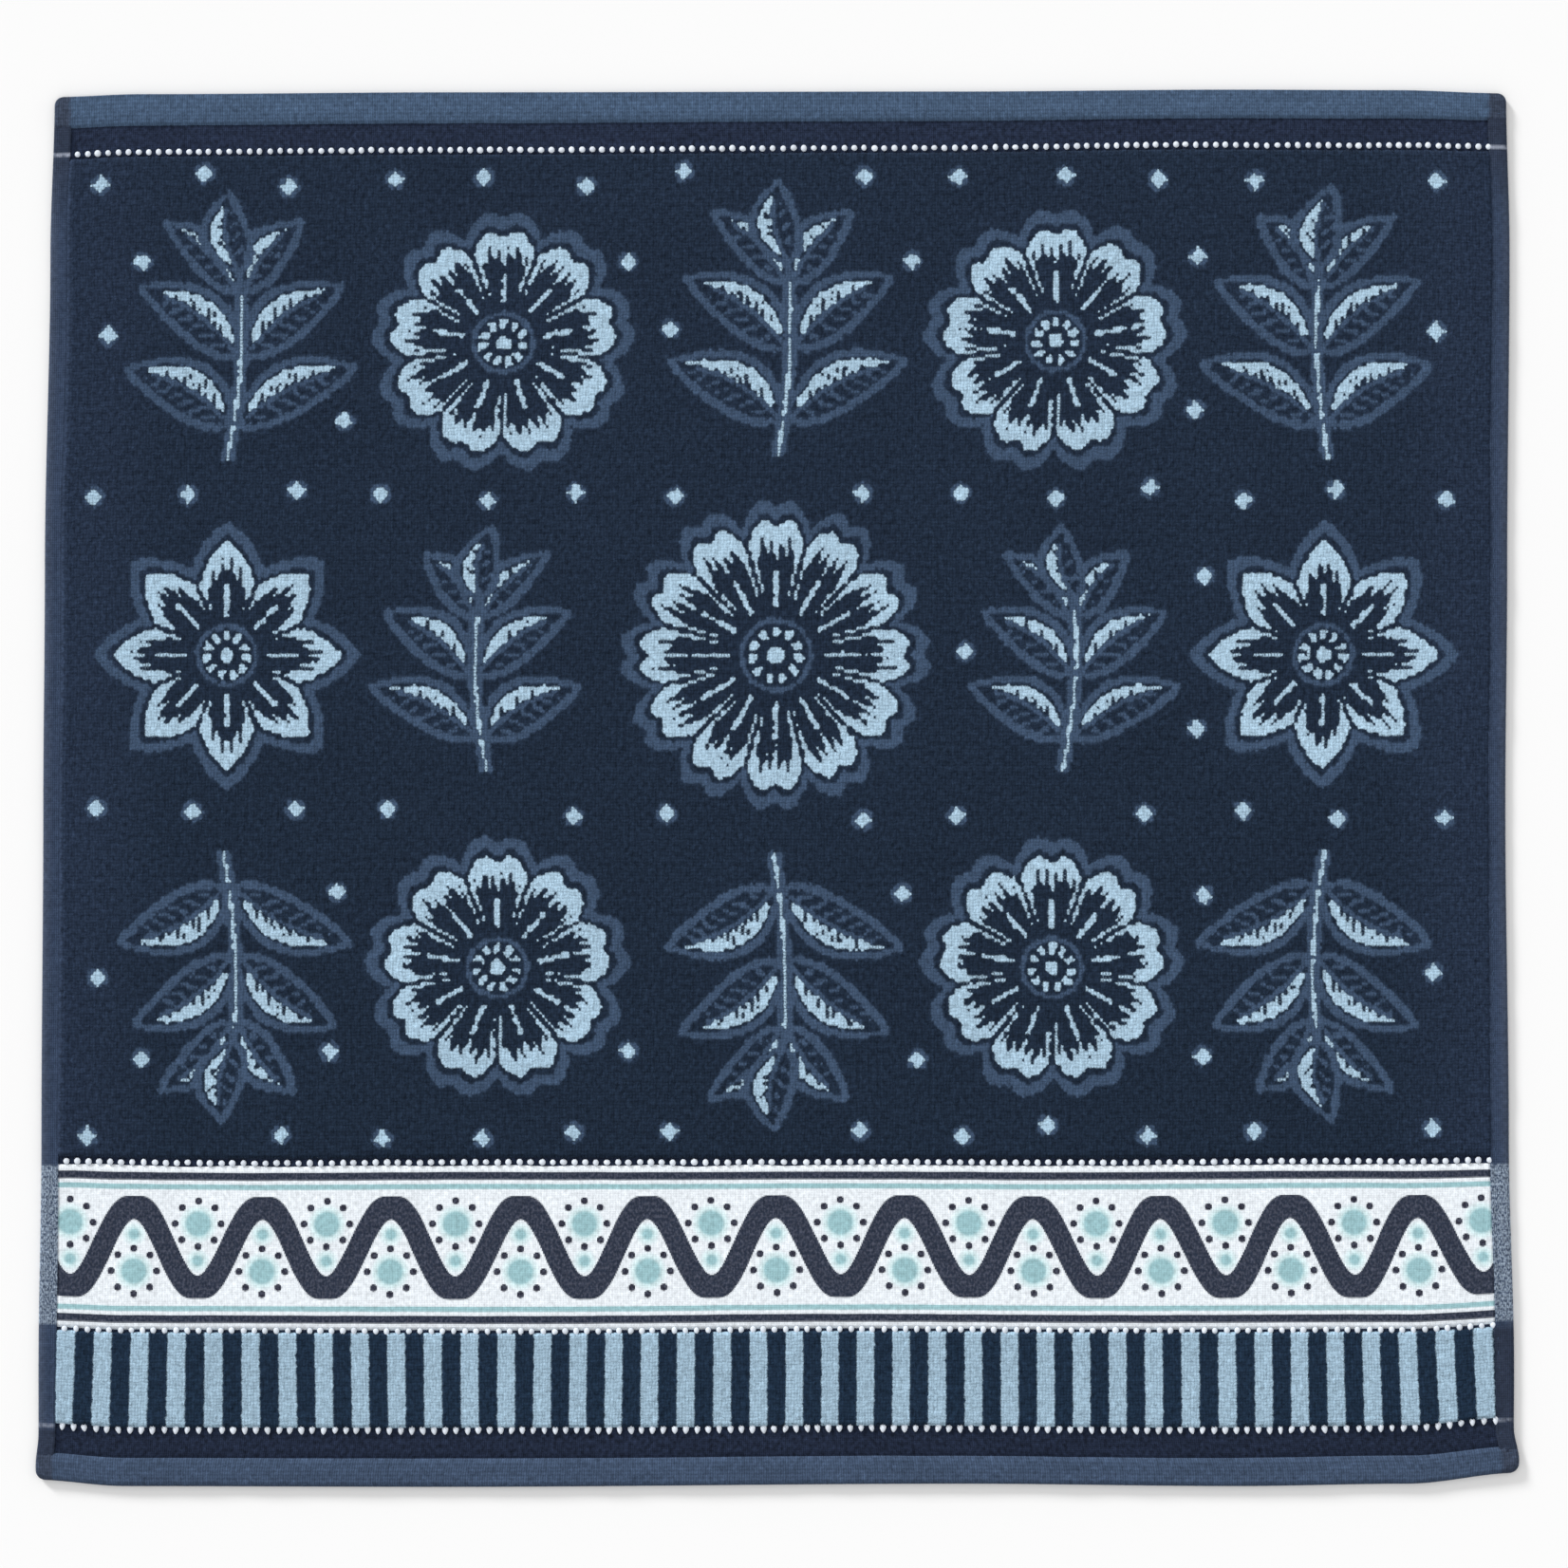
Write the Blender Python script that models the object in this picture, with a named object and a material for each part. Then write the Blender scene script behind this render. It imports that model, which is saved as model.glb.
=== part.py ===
"""Tea towel: one piece of terry cloth lying flat, its four hems turned on the same cloth.

Metres, +Z up. +X runs along the two end hems, +Y points to the top hem. The origin is
under the middle of the cloth, on the surface that the towel lies on.
"""
import math
from collections import namedtuple

import bmesh
import bpy

# Cut size of the cloth as it lies
WIDTH = 0.550             # across the middle, edge to edge
CORNER_RADIUS = 0.0034    # the turned corners are a little round
LEFT_HEM = 0.0067         # width of the side hems
RIGHT_HEM = 0.0071
SIDE_HEM_HEIGHT = 0.0022

# Thickness where one kind of weave meets the next
STEP_WIDTH = 0.0012       # the pile leans over a height step by this much
RIM_RADIUS = 0.0012       # rounding of the folded edges
RIM_HEIGHT = 0.0008       # upright part of the folded edges
SWELL = 0.00012           # slow unevenness of the upper face
SWELL_LENGTH = 0.085      # distance from one swell to the next

# Largest spacing of the cage on the plain stretches
CAGE_PITCH = 0.025

# The kinds of weave, from the top edge down
Zone = namedtuple("Zone", "name length height")
ZONES = (
    Zone("top_hem", 0.0114, 0.0026),
    Zone("top_flat_strip", 0.0085, 0.0016),
    Zone("top_dots", 0.0032, 0.0024),
    Zone("terry_body", 0.3791, 0.0030),
    Zone("dots_over_band", 0.0032, 0.0024),
    Zone("flat_band", 0.0604, 0.0016),
    Zone("dots_under_band", 0.0032, 0.0024),
    Zone("terry_stripes", 0.0341, 0.0030),
    Zone("bottom_dots", 0.0032, 0.0024),
    Zone("bottom_flat_strip", 0.0090, 0.0016),
    Zone("bottom_hem", 0.0107, 0.0026),
)
LENGTH = sum(zone.length for zone in ZONES)

# How far the two sides stand from the middle line, going down the towel. They spread
# towards the bottom hem, whose two ends stick out.
Side = namedtuple("Side", "down left right")
SIDES = (
    Side(0.000, 0.2720, 0.2745),
    Side(0.060, 0.2736, 0.2758),
    Side(0.180, 0.2757, 0.2749),
    Side(0.270, 0.2763, 0.2742),
    Side(0.395, 0.2770, 0.2755),
    Side(0.485, 0.2781, 0.2775),
    Side(0.508, 0.2781, 0.2774),
    Side(0.521, 0.2792, 0.2794),
    Side(0.526, 0.2790, 0.2791),
)

# How far the two end hems bend inwards from a straight line, going from left to right
# (across is -1 at the left edge and 1 at the right edge). The bend dies out over the cloth.
End = namedtuple("End", "across top_dip bottom_lift")
ENDS = (
    End(-1.00, 0.0028, 0.0027),
    End(-0.88, 0.0017, 0.0003),
    End(-0.45, 0.0010, 0.0000),
    End(0.25, 0.0007, 0.0012),
    End(0.62, 0.0000, 0.0003),
    End(0.85, 0.0002, 0.0012),
    End(1.00, 0.0014, 0.0053),
)


def smooth(amount):
    """Ease from 0 to 1 with no kink at either end."""
    amount = min(max(amount, 0.0), 1.0)
    return amount * amount * (3.0 - 2.0 * amount)


def read_table(rows, place, column):
    """Read a column of a table at a place between two of its rows, as a smooth curve."""
    places = [row[0] for row in rows]
    values = [getattr(row, column) for row in rows]
    if place <= places[0]:
        return values[0]
    for index in range(len(rows) - 1):
        if place <= places[index + 1]:
            share = (place - places[index]) / (places[index + 1] - places[index])
            return values[index] + (values[index + 1] - values[index]) * smooth(share)
    return values[-1]


def zone_edges():
    """Distances from the top edge at which one kind of weave meets the next."""
    edges = []
    down = 0.0
    for zone in ZONES[:-1]:
        down += zone.length
        edges.append(down)
    return edges


def filled_in(lines):
    """Add evenly spaced lines wherever two lines are further apart than the cage's pitch."""
    filled = [lines[0]]
    for line in lines[1:]:
        start = filled[-1]
        count = max(1, math.ceil((line - start) / CAGE_PITCH))
        filled += [start + (line - start) * n / count for n in range(1, count + 1)]
    return filled


def rim_lines(edge, inwards):
    """Cage lines that round the folded edge and hold the round corner."""
    return [edge + inwards * RIM_RADIUS * share for share in (0.0, 0.3, 1.0)] + [
        edge + inwards * CORNER_RADIUS]


def step_lines(place):
    """The two cage lines on either side of a height step."""
    return [place - STEP_WIDTH / 2, place + STEP_WIDTH / 2]


def column_lines():
    """Places across the towel where the cage has a line, left to right."""
    half = WIDTH / 2
    lines = rim_lines(-half, 1) + rim_lines(half, -1)
    lines += step_lines(-half + LEFT_HEM) + step_lines(half - RIGHT_HEM)
    return filled_in(sorted(lines))


def row_lines():
    """Places down the towel where the cage has a line, top to bottom."""
    lines = rim_lines(0.0, 1) + rim_lines(LENGTH, -1)
    for edge in zone_edges():
        lines += step_lines(edge)
    return filled_in(sorted(lines))


def round_corner(across, down):
    """Pull the points of each corner square onto a quarter circle."""
    beyond_side = abs(across) - (WIDTH / 2 - CORNER_RADIUS)
    beyond_end = abs(down - LENGTH / 2) - (LENGTH / 2 - CORNER_RADIUS)
    if beyond_side <= 0.0 or beyond_end <= 0.0:
        return across, down
    keep = max(beyond_side, beyond_end) / math.hypot(beyond_side, beyond_end)
    across -= math.copysign(beyond_side * (1.0 - keep), across)
    down -= math.copysign(beyond_end * (1.0 - keep), down - LENGTH / 2)
    return across, down


def lie(across, down):
    """Place a point of the flat cloth where it lies on the surface."""
    across, down = round_corner(across, down)
    left = read_table(SIDES, down, "left")
    right = read_table(SIDES, down, "right")
    x = (right - left) / 2 + across * (right + left) / WIDTH
    share = across / (WIDTH / 2)
    top_dip = read_table(ENDS, share, "top_dip")
    bottom_lift = read_table(ENDS, share, "bottom_lift")
    way_down = down / LENGTH
    y = LENGTH / 2 - down - top_dip * (1.0 - way_down) ** 3 + bottom_lift * way_down ** 3
    return x, y


def zone_height(down):
    """Thickness of the weave at a distance from the top edge, with its steps eased."""
    height = ZONES[0].height
    for edge, zone in zip(zone_edges(), ZONES[1:]):
        share = (down - edge) / STEP_WIDTH + 0.5
        height += (zone.height - height) * smooth(share)
    return height


def cloth_height(across, down):
    """Height of the upper face over the surface, with hems, steps and slow swells."""
    from_side = WIDTH / 2 - abs(across)
    from_edge = min(from_side, down, LENGTH - down)
    height = zone_height(down)
    in_end_hem = down < ZONES[0].length or down > LENGTH - ZONES[-1].length
    if not in_end_hem:
        side_hem = LEFT_HEM if across < 0.0 else RIGHT_HEM
        inside = smooth((from_side - side_hem) / STEP_WIDTH + 0.5)
        height = SIDE_HEM_HEIGHT + (height - SIDE_HEM_HEIGHT) * inside
    turn = 2.0 * math.pi / SWELL_LENGTH
    height += SWELL * math.sin(turn * across + 1.0) * math.cos(turn * down * 0.8)
    lean = 1.0 - min(from_edge / RIM_RADIUS, 1.0)
    return RIM_HEIGHT + (height - RIM_HEIGHT) * math.sqrt(1.0 - lean * lean)


def build_cloth_mesh():
    """One closed sheet: a grid extruded to two layers, each point then put in its place."""
    columns = column_lines()
    rows = row_lines()
    last_column = len(columns) - 1
    last_row = len(rows) - 1
    cloth = bmesh.new()
    bmesh.ops.create_grid(cloth, x_segments=last_column, y_segments=last_row, size=1.0)
    for part in bmesh.ops.extrude_face_region(cloth, geom=cloth.faces[:])["geom"]:
        if isinstance(part, bmesh.types.BMVert):
            part.co.z = 1.0
    for vertex in cloth.verts:
        across = columns[round((1.0 + vertex.co.x) / 2.0 * last_column)]
        down = rows[round((1.0 - vertex.co.y) / 2.0 * last_row)]
        x, y = lie(across, down)
        height = cloth_height(across, down) if vertex.co.z == 1.0 else 0.0
        vertex.co = (x, y, height)

    flatten_underside(cloth)
    centre_on_origin(cloth)
    bmesh.ops.recalc_face_normals(cloth, faces=cloth.faces[:])
    mesh = bpy.data.meshes.new("towel")
    cloth.to_mesh(mesh)
    cloth.free()
    return mesh


def flatten_underside(cloth):
    """Join the faces that lie on the surface into one."""
    resting = [face for face in cloth.faces if all(v.co.z == 0.0 for v in face.verts)]
    bmesh.ops.dissolve_faces(cloth, faces=resting, use_verts=True)
    bmesh.ops.triangulate(cloth, faces=[f for f in cloth.faces if len(f.verts) > 4])


def centre_on_origin(cloth):
    """Put the middle of the cloth's extent over the origin."""
    for axis in (0, 1):
        places = [vertex.co[axis] for vertex in cloth.verts]
        middle = (min(places) + max(places)) / 2
        for vertex in cloth.verts:
            vertex.co[axis] -= middle


def terry_material():
    """Navy cotton terry."""
    material = bpy.data.materials.new("towel_terry")
    material.use_nodes = True
    shader = material.node_tree.nodes["Principled BSDF"]
    shader.inputs["Base Color"].default_value = (0.017, 0.026, 0.052, 1.0)
    shader.inputs["Roughness"].default_value = 0.95
    shader.inputs["Metallic"].default_value = 0.0
    shader.inputs["Sheen Weight"].default_value = 0.3
    return material


def clear_scene():
    """Start from an empty scene."""
    for thing in list(bpy.data.objects):
        bpy.data.objects.remove(thing, do_unlink=True)


def build_towel():
    """The towel, in a collection of its own."""
    collection = bpy.data.collections.new("tea_towel")
    bpy.context.scene.collection.children.link(collection)
    mesh = build_cloth_mesh()
    mesh.materials.append(terry_material())
    mesh.shade_smooth()
    mesh.set_sharp_from_angle(angle=math.radians(50.0))
    collection.objects.link(bpy.data.objects.new("towel", mesh))


clear_scene()
build_towel()
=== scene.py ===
"""Looks of the tea towel: jacquard terry with turned hems, spread out flat, face up.

The cloth is worked out in its own flat coordinates: across from its middle line to the
right, and down from its top edge. lie() puts a flat place where it lies on the surface.
"""

import math
from collections import namedtuple

import bpy
import numpy as np
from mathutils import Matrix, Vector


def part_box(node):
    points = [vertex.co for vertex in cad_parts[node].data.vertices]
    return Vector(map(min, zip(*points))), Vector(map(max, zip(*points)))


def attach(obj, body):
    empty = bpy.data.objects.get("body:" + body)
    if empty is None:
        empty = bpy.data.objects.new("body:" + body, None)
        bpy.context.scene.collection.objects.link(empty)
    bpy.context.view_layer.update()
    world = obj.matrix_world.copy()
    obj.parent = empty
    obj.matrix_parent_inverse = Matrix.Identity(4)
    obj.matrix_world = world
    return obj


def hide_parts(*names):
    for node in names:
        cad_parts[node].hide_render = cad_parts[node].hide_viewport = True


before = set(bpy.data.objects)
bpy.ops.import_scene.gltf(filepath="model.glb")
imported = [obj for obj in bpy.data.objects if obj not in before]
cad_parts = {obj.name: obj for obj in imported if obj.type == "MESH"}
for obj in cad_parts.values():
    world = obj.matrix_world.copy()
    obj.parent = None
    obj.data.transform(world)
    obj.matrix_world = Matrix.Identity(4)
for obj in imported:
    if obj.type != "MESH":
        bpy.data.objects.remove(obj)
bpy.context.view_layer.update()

NODE = "towel"
BODY = "root"
MM = 0.001

# --- Sizes of the cloth, in metres ------------------------------------------------------

WIDTH = 0.550
CORNER_RADIUS = 0.0034
LEFT_HEM = 0.0067
RIGHT_HEM = 0.0071
LEFT_INNER = -WIDTH / 2 + LEFT_HEM        # where the side hems' inner edges run
RIGHT_INNER = WIDTH / 2 - RIGHT_HEM
HEM_TUCK = 0.0006         # the band reaches this much under the side hems
BAND_REACH = 0.0013       # and this much in among its dots

# How the threads wander from a straight grain
TOP_SLANT = 0.0033        # slope of the top rows
LEFT_PULL = 0.0008        # the lower end's sideways shifts
RIGHT_PULL = 0.0015
GATHER = 0.0015

# The kinds of weave, from the top edge down
Zone = namedtuple("Zone", "name length")
ZONES = (
    Zone("top_hem", 0.0114),
    Zone("top_flat_strip", 0.0085),
    Zone("top_dots", 0.0032),
    Zone("terry_body", 0.3791),
    Zone("dots_over_band", 0.0032),
    Zone("flat_band", 0.0604),
    Zone("dots_under_band", 0.0032),
    Zone("terry_stripes", 0.0341),
    Zone("bottom_dots", 0.0032),
    Zone("bottom_flat_strip", 0.0090),
    Zone("bottom_hem", 0.0107),
)
LENGTH = sum(zone.length for zone in ZONES)

# How far the two sides stand from the middle line, going down the towel
Side = namedtuple("Side", "down left right")
SIDES = (
    Side(0.000, 0.2720, 0.2745),
    Side(0.060, 0.2736, 0.2758),
    Side(0.180, 0.2757, 0.2749),
    Side(0.270, 0.2763, 0.2742),
    Side(0.395, 0.2770, 0.2755),
    Side(0.485, 0.2781, 0.2775),
    Side(0.508, 0.2781, 0.2774),
    Side(0.521, 0.2792, 0.2794),
    Side(0.526, 0.2790, 0.2791),
)

# How far the two end hems bend inwards from a straight line, from left (-1) to right (1)
End = namedtuple("End", "across top_dip bottom_lift")
ENDS = (
    End(-1.00, 0.0028, 0.0027),
    End(-0.88, 0.0017, 0.0003),
    End(-0.45, 0.0010, 0.0000),
    End(0.25, 0.0007, 0.0012),
    End(0.62, 0.0000, 0.0003),
    End(0.85, 0.0002, 0.0012),
    End(1.00, 0.0014, 0.0053),
)

# Heights over the surface
GROUND_UNDER = 0.0004     # lower face of the ground weave
GROUND_FACE = 0.0012      # its upper face under the pile
STRIP_FACE = 0.0016       # its upper face where no pile covers it
BAND_FACE = 0.0018
SIDE_HEM_FACE = 0.0023
INNER_EDGE = 0.0019       # inner edge of a side hem, where pile and band come up against it
END_HEM_FACE = 0.0026
HEM_MIDDLE = 0.0012       # height at which a hem's fold stands furthest out
PILE_FACE = 0.0030
PILE_FOOT = 0.0026
SIDE_FOOT = 0.0020        # where the pile goes under a side hem

# The striped border: light stripes with a navy one between, ending on a light one
STRIPE_COUNT = 40
STRIPE_PITCH = (RIGHT_INNER - LEFT_INNER) / (STRIPE_COUNT - 0.5)

# Pile loops stand in columns and rows, one to a cell
LOOPS_TO_A_PITCH = 12
LOOP_ACROSS = STRIPE_PITCH / LOOPS_TO_A_PITCH
LOOP_DOWN = 0.00125
LOOP_LEAN = 0.12          # how far loops wander from their places, as a share of a cell

STITCH_PITCH = 0.0029
SIDE_SEAM = 0.0017        # from a side hem's inner edge out to its seam
END_SEAM = 0.0026         # and from an end hem's
GROOVE = 0.00055          # half width of the groove that a seam draws in
END_ROLL = 0.0030         # rounding of the inner edge of the end hems
PUCKER = 0.00012          # height of the soft waves along a seam

# Where the white yarn of a row of dots floats across the left and the right side hem
HEM_DASHES = (("top_dots", 0.95, 0.80), ("bottom_dots", 0.50, 0.50))

# The band's design, in millimetres: a wave between two lines, with a rosette in each bend
BAND_STEP = 0.5           # the weave draws its curved edges in steps
WAVE_LENGTH = 48.0
WAVE_REACH = 15.0         # of the wave's middle line, up and down from the band's
WAVE_WIDTH = 8.8
EDGE_LINE = 27.0          # from the band's middle to its two dark lines
EDGE_LINE_WIDTH = 3.0
TEAL_LINE = 23.0          # and to the two teal lines inside them
TEAL_LINE_WIDTH = 2.0
ROSETTE_OFFSET = 9.0      # from the band's middle to a rosette's, into the open side of a bend
ROSETTE_HEART = 5.2       # radius of its teal heart
ROSETTE_RING = 8.6        # and of the ring of dark dots round it
ROSETTE_DOTS = 8
ROSETTE_DOT = 1.4         # radius of a dot
SPOT_OFFSET = -5.0        # the small teal spots sit on the closed side of the bend
SPOT_RADIUS = 2.5

# Colours of the yarns, as linear reflectance
NAVY = (0.0134, 0.0240, 0.0450)
# Painted light: a lighter navy that the terry body takes towards its sides and its top
PAINTED_LIGHT_NAVY = (0.0192, 0.0314, 0.0600)
STRIPE_NAVY = (0.0125, 0.0268, 0.0520)
STRIP_NAVY = (0.0170, 0.0255, 0.0520)
SLATE = (0.036, 0.055, 0.100)
# Painted light: a lighter slate along the side hems' outer folds
PAINTED_LIGHT_EDGE_SLATE = (0.052, 0.070, 0.112)
HEM_BLUE = (0.060, 0.100, 0.170)
# Painted shade: a darker copy of the hem blue for the bottom hem, which gets less light
SHADED_HEM_BLUE = (0.050, 0.077, 0.132)
CORNER_SLATE = (0.042, 0.056, 0.090)
MID_BLUE = (0.051, 0.085, 0.148)
LIGHT_BLUE = (0.402, 0.568, 0.706)
WHITE = (0.790, 0.840, 0.890)
PICOT_WHITE = (0.700, 0.755, 0.830)
SPECK = (0.300, 0.370, 0.460)
DASH = (0.290, 0.320, 0.400)
END_SLATE = (0.027, 0.037, 0.064)
TEAL = (0.310, 0.515, 0.555)
PALE_TEAL = (0.600, 0.800, 0.820)
BAND_NAVY = (0.022, 0.030, 0.052)
BAND_SPECK = (0.070, 0.078, 0.112)
DARK_FIGURE = (0.024, 0.024, 0.040)
THREAD_BLUE = (0.050, 0.080, 0.140)
SMOOTHEST = 0.85          # least and greatest roughness of the cotton
ROUGHEST = 1.0

# Light and camera
FLOOR_SIZE = 60.0
SUN_STRENGTH = 2.95
SUN_SPREAD = 12.0         # degrees
SUN_ELEVATION = 18.5      # degrees
SUN_AZIMUTH = 130.0       # degrees, from +X towards +Y
SKY = (1.0, 1.0, 1.0)
SKY_STRENGTH = 0.785
LENS = 100.0
SENSOR = 36.0
FIELD = 0.590             # width of the view at the towel
AIM = (0.0025, 0.0016)


# --- Where the flat cloth lies ------------------------------------------------------------

def smooth(amount):
    """Ease from 0 to 1 with no kink at either end."""
    amount = np.clip(amount, 0.0, 1.0)
    return amount * amount * (3.0 - 2.0 * amount)


def read_table(rows, place, column):
    """Read a column of a table at places between its rows, as a smooth curve."""
    places = np.array([row[0] for row in rows])
    values = np.array([getattr(row, column) for row in rows])
    place = np.clip(place, places[0], places[-1])
    index = np.clip(np.searchsorted(places, place) - 1, 0, len(rows) - 2)
    share = (place - places[index]) / (places[index + 1] - places[index])
    return values[index] + (values[index + 1] - values[index]) * smooth(share)


def zone_span(name):
    """Where a kind of weave starts and ends, measured down from the top edge."""
    down = 0.0
    for zone in ZONES:
        if zone.name == name:
            return down, down + zone.length
        down += zone.length
    raise KeyError(name)


def lumps(across, down, length, seed):
    """Slow unevenness from about -1 to 1, with hills about one length apart."""
    draw = np.random.default_rng(seed)
    total = np.zeros(np.broadcast(across, down).shape)
    waves = 7
    for _ in range(waves):
        angle = draw.uniform(0.0, math.pi)
        pitch = length * draw.uniform(0.7, 1.6)
        phase = draw.uniform(0.0, 2.0 * math.pi)
        along = across * math.cos(angle) + down * math.sin(angle)
        total = total + np.sin(2.0 * math.pi * along / pitch + phase)
    return total / math.sqrt(waves)


def drift(across, down):
    """How far the threads wander from a straight grain.

    The top rows slant a little. The striped end is gathered towards its middle and pulled
    to the right at its right side.
    """
    from_side = WIDTH / 2 - np.abs(across)
    from_end = np.minimum(down, LENGTH - down)
    inside = smooth(from_side / 0.012) * smooth(from_end / 0.020)
    slant = -TOP_SLANT * across * smooth(down / 0.009) * smooth((0.200 - down) / 0.170)
    move_across = 0.00035 * lumps(across, down, 0.110, 11)
    move_across = move_across + 0.00004 * lumps(across, down, 0.016, 12)
    move_down = 0.00018 * lumps(across, down, 0.150, 13)
    move_down = move_down + 0.00004 * lumps(across, down, 0.020, 14)
    dots_start, dots_end = zone_span("dots_under_band")
    lower_end = smooth((down - 0.455) / 0.050)
    stripes = smooth((down - dots_start) / (dots_end - dots_start))
    stripes_pulled = stripes * smooth((0.512 - down) / 0.042)
    gathered = stripes * np.sin(2.0 * math.pi * across / WIDTH)
    right = np.exp(-(((WIDTH / 2 - across) - 0.022) / 0.060) ** 2)
    left = np.exp(-(((WIDTH / 2 + across) - 0.018) / 0.040) ** 2)
    move_across = move_across - LEFT_PULL * left * lower_end - RIGHT_PULL * right * stripes_pulled
    move_across = move_across - GATHER * gathered
    return move_across * inside, move_down * inside + slant


def round_corner(across, down):
    """Pull the points of each corner square onto a quarter circle."""
    beyond_side = np.maximum(np.abs(across) - (WIDTH / 2 - CORNER_RADIUS), 0.0)
    beyond_end = np.maximum(np.abs(down - LENGTH / 2) - (LENGTH / 2 - CORNER_RADIUS), 0.0)
    reach = np.maximum(np.hypot(beyond_side, beyond_end), 1e-12)
    keep = np.maximum(beyond_side, beyond_end) / reach
    keep = np.where((beyond_side > 0.0) & (beyond_end > 0.0), keep, 1.0)
    across = across - np.copysign(beyond_side * (1.0 - keep), across)
    down = down - np.copysign(beyond_end * (1.0 - keep), down - LENGTH / 2)
    return across, down


def lie_loose(across, down):
    """Place flat points on the surface, before the frame's box is matched."""
    move_across, move_down = drift(across, down)
    across, down = round_corner(across + move_across, down + move_down)
    left = read_table(SIDES, down, "left")
    right = read_table(SIDES, down, "right")
    x = (right - left) / 2 + across * (right + left) / WIDTH
    share = across / (WIDTH / 2)
    top_dip = read_table(ENDS, share, "top_dip")
    bottom_lift = read_table(ENDS, share, "bottom_lift")
    way_down = down / LENGTH
    y = LENGTH / 2 - down - top_dip * (1.0 - way_down) ** 3 + bottom_lift * way_down ** 6
    return x, y


def fit_to_frame():
    """Scale and shift that put the loose outline exactly in the CAD node's box."""
    low, high = (np.array(corner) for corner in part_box(NODE))
    edge = np.linspace(0.0, 1.0, 800)
    across = np.concatenate([edge - 0.5, edge - 0.5, -0.5 + 0 * edge, 0.5 + 0 * edge]) * WIDTH
    down = np.concatenate([0 * edge, 1 + 0 * edge, edge, edge]) * LENGTH
    x, y = lie_loose(across, down)
    scale = ((high[0] - low[0]) / np.ptp(x), (high[1] - low[1]) / np.ptp(y))
    shift = (low[0] - x.min() * scale[0], low[1] - y.min() * scale[1])
    return scale, shift


SCALE, SHIFT = fit_to_frame()
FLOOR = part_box(NODE)[0][2]


def lie(across, down):
    """Place flat points where they lie in the frame."""
    x, y = lie_loose(across, down)
    return x * SCALE[0] + SHIFT[0], y * SCALE[1] + SHIFT[1]


# --- Meshes -------------------------------------------------------------------------------

def spaced_lines(start, end, pitch):
    """Evenly spaced places from start to end, about one pitch apart."""
    return np.linspace(start, end, max(2, int(round((end - start) / pitch)) + 1))


def edge_lines(edge, inwards, reach):
    """Places that crowd towards a rolled edge."""
    return edge + inwards * reach * np.array([0.0, 0.06, 0.18, 0.36, 0.62, 1.0])


def joined_lines(*groups):
    """One ascending row of places from several, with near doubles dropped."""
    lines = np.sort(np.concatenate(groups))
    return lines[np.concatenate([[True], np.diff(lines) > 0.00012])]


def new_object(name, points, faces):
    """An object from an array of points and an array of equal-sided faces."""
    sides = faces.shape[1]
    mesh = bpy.data.meshes.new(name)
    mesh.vertices.add(len(points))
    mesh.vertices.foreach_set("co", np.ascontiguousarray(points, np.float32).ravel())
    mesh.loops.add(faces.size)
    mesh.loops.foreach_set("vertex_index", np.ascontiguousarray(faces, np.int32).ravel())
    mesh.polygons.add(len(faces))
    mesh.polygons.foreach_set("loop_start", np.arange(0, faces.size, sides, dtype=np.int32))
    mesh.polygons.foreach_set("use_smooth", np.full(len(faces), True))
    mesh.update(calc_edges=True)
    mesh.validate()
    piece = bpy.data.objects.new(name, mesh)
    bpy.context.scene.collection.objects.link(piece)
    return piece


def store(piece, name, values):
    """Keep numbers or flat places on a mesh for its material to read."""
    values = np.ascontiguousarray(values, np.float32)
    kind, field = ("FLOAT_VECTOR", "vector") if values.ndim == 2 else ("FLOAT", "value")
    attribute = piece.data.attributes.new(name, kind, "POINT")
    attribute.data.foreach_set(field, values.ravel())


def store_map(piece, flat, closed=False):
    """Lay the mesh out flat in its texture map; a closed sheet's underside goes below."""
    low, high = flat.min(axis=0), flat.max(axis=0)
    u = (flat[:, 0] - low[0]) / (high[0] - low[0])
    v = 1.0 - (flat[:, 1] - low[1]) / (high[1] - low[1])
    if closed:
        v = np.concatenate([0.505 + 0.495 * v, 0.495 * v])
        u = np.concatenate([u, u])
    corner = np.empty(len(piece.data.loops), np.int32)
    piece.data.loops.foreach_get("vertex_index", corner)
    if closed:
        corner = pin_walls(corner.reshape(-1, 4), len(flat)).ravel()
    layer = piece.data.uv_layers.new(name="OFBake")
    layer.uv.foreach_set("vector", np.stack([u, v], 1)[corner].astype(np.float32).ravel())


def pin_walls(corner, layer_size):
    """Give the edge faces of a closed sheet no room in the map: they take their rim's."""
    below = corner >= layer_size
    wall = below.any(axis=1) & ~below.all(axis=1)
    return np.where(wall[:, None] & below, corner - layer_size, corner)


def grid_quads(columns, rows, flip=False):
    """Faces of a grid of points stored row by row, going down."""
    corner = (np.arange(rows - 1)[:, None] * columns + np.arange(columns - 1)).ravel()
    faces = np.stack([corner, corner + columns, corner + columns + 1, corner + 1], 1)
    return faces[:, ::-1] if flip else faces


def wall_quads(columns, rows):
    """Faces that close a sheet's upper grid to its lower one all the way round."""
    down = np.arange(rows) * columns
    right = np.arange(columns)
    ring = np.concatenate([
        down, down[-1] + right[1:], (down + columns - 1)[::-1][1:], right[::-1][1:-1]])
    after = np.roll(ring, -1)
    below = columns * rows
    return np.stack([ring, ring + below, after + below, after], 1)


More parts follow.
